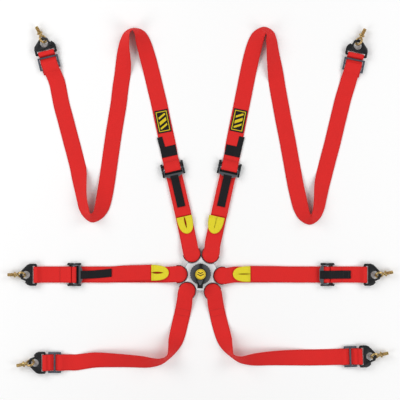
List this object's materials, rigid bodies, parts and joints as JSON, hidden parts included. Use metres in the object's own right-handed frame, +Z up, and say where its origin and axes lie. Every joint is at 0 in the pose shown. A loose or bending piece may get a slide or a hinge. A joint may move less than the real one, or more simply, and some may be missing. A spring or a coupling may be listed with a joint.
{
  "type": "racing harness",
  "caption": "Racing harness laid out flat: rotary cam-lock buckle, red webbing arms, lever adjusters, sliders and snap hooks on threaded eye bolts.",
  "frame": {"origin": "centre of the rotary buckle on the flat back of its back plate", "axes": "+Z up out of the buckle's face, +Y towards the shoulder straps, +X towards the right lap strap as it lies"},
  "size_m": [1.1913, 1.0746, 0.051],
  "materials": {
    "buckle_alloy": "satin anodised light alloy",
    "bright_steel": "ground steel",
    "knob_plastic": "dark grey moulded plastic with a fine grain",
    "handle_plastic": "black moulded plastic, half gloss",
    "badge_yellow": "yellow and black enamelled badge with a plain geometric mark",
    "black_steel": "black coated pressed steel",
    "grey_steel": "dark zinc plated steel",
    "blued_steel": "dark blue-grey coated steel",
    "red_webbing": "ribbed polyester webbing, bright red",
    "yellow_tape": "narrow yellow webbing tape",
    "black_tape": "narrow black webbing tape",
    "label_black": "woven black label with plain yellow bars",
    "yellow_zinc": "yellow passivated zinc on steel"
  },
  "bodies": {
    "buckle": {"buckle_body": "buckle_alloy", "buckle_back_plate": "buckle_alloy", "tongue_lap_left": "black_steel", "snap_hook_lap_left": "black_steel", "strap_lap_left": "red_webbing", "anchor_loop_left": "red_webbing", "pull_loop_lap_left": "yellow_tape", "adjuster_frame_lap_left": "black_steel"},
    "latch": {"latch_pins": "bright_steel"},
    "knob": {"release_knob": "knob_plastic", "release_handle": "handle_plastic", "centre_badge": "badge_yellow"},
    "arm_shoulder_left": {"tongue_shoulder_left": "black_steel", "snap_hook_shoulder_left": "black_steel", "strap_tongue_shoulder_left": "red_webbing", "strap_shoulder_left": "red_webbing", "pull_loop_shoulder_left": "yellow_tape", "adjuster_frame_shoulder_left": "black_steel", "slider_shoulder_left": "blued_steel"},
    "arm_shoulder_right": {"tongue_shoulder_right": "black_steel", "snap_hook_shoulder_right": "black_steel", "strap_tongue_shoulder_right": "red_webbing", "strap_shoulder_right": "red_webbing", "pull_loop_shoulder_right": "yellow_tape", "adjuster_frame_shoulder_right": "black_steel", "slider_shoulder_right": "blued_steel"},
    "arm_lap_right": {"tongue_lap_right": "black_steel", "snap_hook_lap_right": "black_steel", "strap_lap_right": "red_webbing", "anchor_loop_right": "red_webbing", "pull_loop_lap_right": "yellow_tape", "adjuster_frame_lap_right": "black_steel", "release_tab_lap_right": "black_tape"},
    "arm_crotch_left": {"tongue_crotch_left": "black_steel", "snap_hook_crotch_left": "black_steel", "strap_crotch_left": "red_webbing", "slider_crotch_left": "blued_steel"},
    "arm_crotch_right": {"tongue_crotch_right": "black_steel", "snap_hook_crotch_right": "black_steel", "strap_crotch_right": "red_webbing", "slider_crotch_right": "blued_steel"},
    "lever_shoulder_left": {"adjuster_lever_shoulder_left": "grey_steel", "release_tab_shoulder_left": "black_tape"},
    "gate_shoulder_left": {"hook_gate_shoulder_left": "grey_steel"},
    "bolt_shoulder_left": {"eye_bolt_shoulder_left": "yellow_zinc"},
    "lever_shoulder_right": {"adjuster_lever_shoulder_right": "grey_steel", "release_tab_shoulder_right": "black_tape"},
    "gate_shoulder_right": {"hook_gate_shoulder_right": "grey_steel"},
    "bolt_shoulder_right": {"eye_bolt_shoulder_right": "yellow_zinc"},
    "lever_lap_left": {"adjuster_lever_lap_left": "grey_steel", "release_tab_lap_left": "black_tape"},
    "gate_lap_left": {"hook_gate_lap_left": "grey_steel"},
    "bolt_lap_left": {"eye_bolt_lap_left": "yellow_zinc"},
    "lever_lap_right": {"adjuster_lever_lap_right": "grey_steel"},
    "gate_lap_right": {"hook_gate_lap_right": "grey_steel"},
    "bolt_lap_right": {"eye_bolt_lap_right": "yellow_zinc"},
    "gate_crotch_left": {"hook_gate_crotch_left": "grey_steel"},
    "bolt_crotch_left": {"eye_bolt_crotch_left": "yellow_zinc"},
    "gate_crotch_right": {"hook_gate_crotch_right": "grey_steel"},
    "bolt_crotch_right": {"eye_bolt_crotch_right": "yellow_zinc"}
  },
  "joints": [
    {"name": "knob_turn", "type": "hinge", "parent": "buckle", "child": "knob", "pos_m": [0, 0, 0.02], "axis": [0, 0, 1], "range_deg": [0, 40], "stiffness_Nm_per_rad": 0.05},
    {"name": "latch_lift", "type": "slide", "parent": "buckle", "child": "latch", "axis": [0, 0, 1], "range_m": [0, 0.004]},
    {"name": "tongue_release_shoulder_left", "type": "slide", "parent": "buckle", "child": "arm_shoulder_left", "axis": [-0.3987, 0.9171, 0], "range_m": [0, 0.03]},
    {"name": "adjuster_lever_shoulder_left", "type": "hinge", "parent": "arm_shoulder_left", "child": "lever_shoulder_left", "pos_m": [-0.086, 0.324, 0.009], "axis": [-0.9744, -0.225, 0], "range_deg": [0, 45], "stiffness_Nm_per_rad": 0.02},
    {"name": "hook_gate_shoulder_left", "type": "hinge", "parent": "arm_shoulder_left", "child": "gate_shoulder_left", "pos_m": [-0.46324, 0.70825, 0.0156], "axis": [0, 0, 1], "range_deg": [0, 12], "stiffness_Nm_per_rad": 0.01},
    {"name": "eye_bolt_shoulder_left", "type": "hinge", "parent": "arm_shoulder_left", "child": "bolt_shoulder_left", "pos_m": [-0.487, 0.725, 0.0125], "axis": [-0.4695, 0.8829, 0], "range_deg": [-2, 36]},
    {"name": "tongue_release_shoulder_right", "type": "slide", "parent": "buckle", "child": "arm_shoulder_right", "axis": [0.4617, 0.887, 0], "range_m": [0, 0.03]},
    {"name": "adjuster_lever_shoulder_right", "type": "hinge", "parent": "arm_shoulder_right", "child": "lever_shoulder_right", "pos_m": [0.089, 0.325, 0.009], "axis": [-0.9763, 0.2164, 0], "range_deg": [0, 45], "stiffness_Nm_per_rad": 0.02},
    {"name": "hook_gate_shoulder_right", "type": "hinge", "parent": "arm_shoulder_right", "child": "gate_shoulder_right", "pos_m": [0.46584, 0.70043, 0.0156], "axis": [0, 0, -1], "range_deg": [0, 12], "stiffness_Nm_per_rad": 0.01},
    {"name": "eye_bolt_shoulder_right", "type": "hinge", "parent": "arm_shoulder_right", "child": "bolt_shoulder_right", "pos_m": [0.489, 0.718, 0.0125], "axis": [-0.454, -0.891, 0], "range_deg": [-2, 36]},
    {"name": "adjuster_lever_lap_left", "type": "hinge", "parent": "buckle", "child": "lever_lap_left", "pos_m": [-0.391, -0.003, 0.009], "axis": [0, -1, 0], "range_deg": [0, 45], "stiffness_Nm_per_rad": 0.02},
    {"name": "hook_gate_lap_left", "type": "hinge", "parent": "buckle", "child": "gate_lap_left", "pos_m": [-0.531, -0.022, 0.0156], "axis": [0, 0, -1], "range_deg": [0, 12], "stiffness_Nm_per_rad": 0.01},
    {"name": "eye_bolt_lap_left", "type": "hinge", "parent": "buckle", "child": "bolt_lap_left", "pos_m": [-0.553, -0.003, 0.0125], "axis": [1, 0, 0], "range_deg": [-2, 36]},
    {"name": "tongue_release_lap_right", "type": "slide", "parent": "buckle", "child": "arm_lap_right", "axis": [0.9962, -0.0872, 0], "range_m": [0, 0.03]},
    {"name": "adjuster_lever_lap_right", "type": "hinge", "parent": "arm_lap_right", "child": "lever_lap_right", "pos_m": [0.393, -0.003, 0.009], "axis": [0, 1, 0], "range_deg": [0, 45], "stiffness_Nm_per_rad": 0.02},
    {"name": "hook_gate_lap_right", "type": "hinge", "parent": "arm_lap_right", "child": "gate_lap_right", "pos_m": [0.53, -0.022, 0.0156], "axis": [0, 0, 1], "range_deg": [0, 12], "stiffness_Nm_per_rad": 0.01},
    {"name": "eye_bolt_lap_right", "type": "hinge", "parent": "arm_lap_right", "child": "bolt_lap_right", "pos_m": [0.552, -0.003, 0.0125], "axis": [0.9816, 0.1908, 0], "range_deg": [-2, 36]},
    {"name": "tongue_release_crotch_left", "type": "slide", "parent": "buckle", "child": "arm_crotch_left", "axis": [-0.6157, -0.788, 0], "range_m": [0, 0.03]},
    {"name": "hook_gate_crotch_left", "type": "hinge", "parent": "arm_crotch_left", "child": "gate_crotch_left", "pos_m": [-0.504, -0.256, 0.0156], "axis": [0, 0, 1], "range_deg": [0, 12], "stiffness_Nm_per_rad": 0.01},
    {"name": "eye_bolt_crotch_left", "type": "hinge", "parent": "arm_crotch_left", "child": "bolt_crotch_left", "pos_m": [-0.526, -0.275, 0.0125], "axis": [-0.9781, -0.2079, 0], "range_deg": [-2, 36]},
    {"name": "tongue_release_crotch_right", "type": "slide", "parent": "buckle", "child": "arm_crotch_right", "axis": [0.5592, -0.829, 0], "range_m": [0, 0.03]},
    {"name": "hook_gate_crotch_right", "type": "hinge", "parent": "arm_crotch_right", "child": "gate_crotch_right", "pos_m": [0.51668, -0.27376, 0.0156], "axis": [0, 0, 1], "range_deg": [0, 12], "stiffness_Nm_per_rad": 0.01},
    {"name": "eye_bolt_crotch_right", "type": "hinge", "parent": "arm_crotch_right", "child": "bolt_crotch_right", "pos_m": [0.538, -0.254, 0.0125], "axis": [0.9781, 0.2079, 0], "range_deg": [-2, 36]}
  ],
  "couplings": [
    {"joint": "latch_lift", "follows": "knob_turn", "m_per_rad": 0.0057296}
  ]
}
